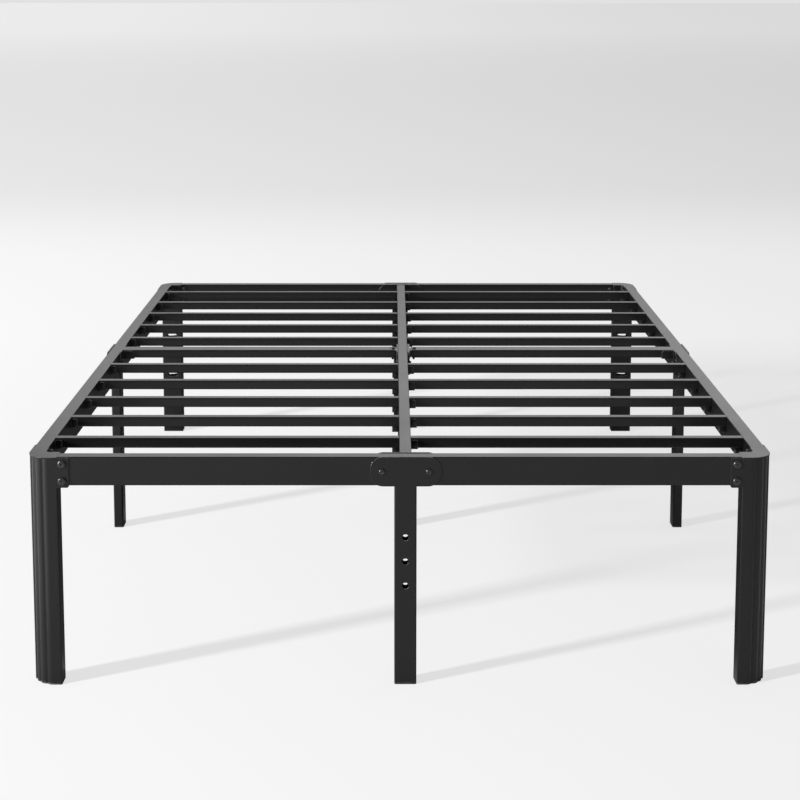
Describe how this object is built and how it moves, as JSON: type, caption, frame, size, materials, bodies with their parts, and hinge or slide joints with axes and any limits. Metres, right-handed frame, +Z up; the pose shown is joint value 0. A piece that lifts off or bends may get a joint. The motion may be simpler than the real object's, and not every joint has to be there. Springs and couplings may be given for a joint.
{
  "type": "platform bed frame",
  "caption": "Black steel platform bed frame: box-section corner posts with fluted rounded corners, bolted rails, centre beam, crossbeams, tube slats and support legs.",
  "frame": {"origin": "on the floor, midway between the outer faces of the corner posts, across and along the bed", "axes": "+Z up; +Y along the bed, from the foot end to the head end with the headboard slots; +X across the bed, to the right as seen from the foot end"},
  "size_m": [1.5382, 2.0412, 0.4882],
  "materials": {
    "frame": "satin black powder coat",
    "fastener": "semi-gloss black",
    "foot": "matte black"
  },
  "bodies": {
    "root": {"beam_joint_bolts": "fastener", "beam_joint_nuts": "fastener", "centre_beam_front": "frame", "centre_beam_rear": "frame", "centre_leg_front": "frame", "centre_leg_middle": "frame", "centre_leg_rear": "frame", "corner_bolts": "fastener", "corner_nuts": "fastener", "corner_post_feet": "foot", "corner_post_front_left": "frame", "corner_post_front_right": "frame", "corner_post_rear_left": "frame", "corner_post_rear_right": "frame", "crossbeam_bolts": "fastener", "crossbeam_left": "frame", "crossbeam_right": "frame", "front_rail_left": "frame", "front_rail_right": "frame", "left_rail_front": "frame", "left_rail_rear": "frame", "leg_plate_bolts": "fastener", "leg_plate_nuts": "fastener", "post_cap_front_left": "frame", "post_cap_front_right": "frame", "post_cap_rear_left": "frame", "post_cap_rear_right": "frame", "rear_rail_left": "frame", "rear_rail_right": "frame", "right_rail_front": "frame", "right_rail_rear": "frame", "side_leg_left": "frame", "side_leg_right": "frame", "slat_hangers_beam_left": "frame", "slat_hangers_beam_right": "frame", "slat_hangers_left_rail": "frame", "slat_hangers_right_rail": "frame", "slat_left_01": "frame", "slat_left_02": "frame", "slat_left_03": "frame", "slat_left_04": "frame", "slat_left_05": "frame", "slat_left_06": "frame", "slat_left_07": "frame", "slat_left_08": "frame", "slat_left_09": "frame", "slat_left_10": "frame", "slat_right_01": "frame", "slat_right_02": "frame", "slat_right_03": "frame", "slat_right_04": "frame", "slat_right_05": "frame", "slat_right_06": "frame", "slat_right_07": "frame", "slat_right_08": "frame", "slat_right_09": "frame", "slat_right_10": "frame", "stub_plate_left": "frame", "stub_plate_right": "frame", "support_leg_feet": "foot"}
  },
  "joints": []
}
